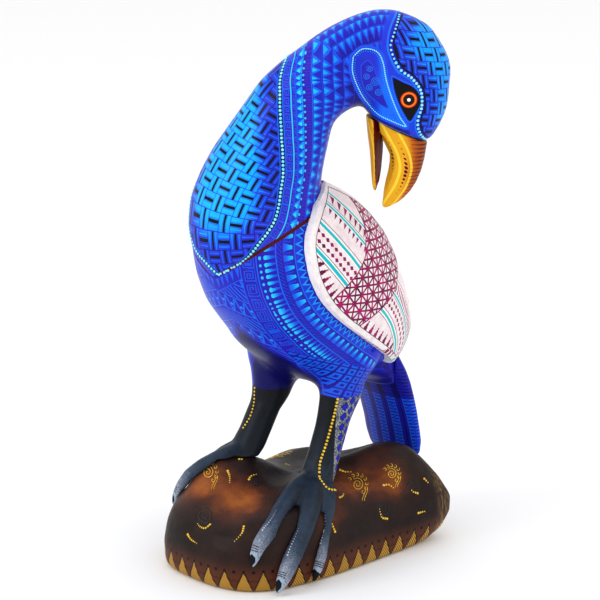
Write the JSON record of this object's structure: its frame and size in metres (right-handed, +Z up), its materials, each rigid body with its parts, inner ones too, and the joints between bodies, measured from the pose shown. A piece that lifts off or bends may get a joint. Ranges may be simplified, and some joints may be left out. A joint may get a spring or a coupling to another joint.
{
  "type": "carved wooden bird figure",
  "caption": "Free-standing carved and painted wooden bird with an arched neck, on a rock-shaped base. The wings are push-fitted on pegs and pull off sideways.",
  "frame": {"origin": "centre of the base's flat underside", "axes": "+Z up; the bird faces -Y and its left side is +X"},
  "size_m": [0.1667, 0.2051, 0.3911],
  "materials": {
    "rock_paint": "satin dark brown paint with worn orange-brown highlights and gold dots",
    "blue_paint": "satin royal blue paint with cyan and black fine patterns",
    "slate_paint": "satin slate blue-black paint",
    "wing_paint": "satin white paint with magenta, maroon and turquoise patterns",
    "beak_paint": "satin yellow to orange paint",
    "bare_wood": "unpainted wooden dowel"
  },
  "bodies": {
    "figure": {"rock_base": "rock_paint", "left_foot": "slate_paint", "right_foot": "slate_paint", "torso": "blue_paint", "neck": "blue_paint", "head": "blue_paint", "upper_beak": "beak_paint", "lower_beak": "beak_paint", "tail": "blue_paint", "left_foot_peg": "bare_wood", "right_foot_peg": "bare_wood", "left_hip_dowel": "bare_wood", "right_hip_dowel": "bare_wood", "neck_front_dowel": "bare_wood", "neck_rear_dowel": "bare_wood", "head_dowel": "bare_wood", "upper_beak_dowel": "bare_wood", "lower_beak_dowel": "bare_wood", "tail_dowel": "bare_wood"},
    "left_wing": {"left_wing": "wing_paint", "left_wing_front_peg": "bare_wood", "left_wing_rear_peg": "bare_wood"},
    "right_wing": {"right_wing": "wing_paint", "right_wing_front_peg": "bare_wood", "right_wing_rear_peg": "bare_wood"}
  },
  "joints": [
    {"name": "left_wing_pull", "type": "slide", "parent": "figure", "child": "left_wing", "axis": [1, 0, 0], "range_m": [0, 0.02]},
    {"name": "right_wing_pull", "type": "slide", "parent": "figure", "child": "right_wing", "axis": [-1, 0, 0], "range_m": [0, 0.02]}
  ]
}
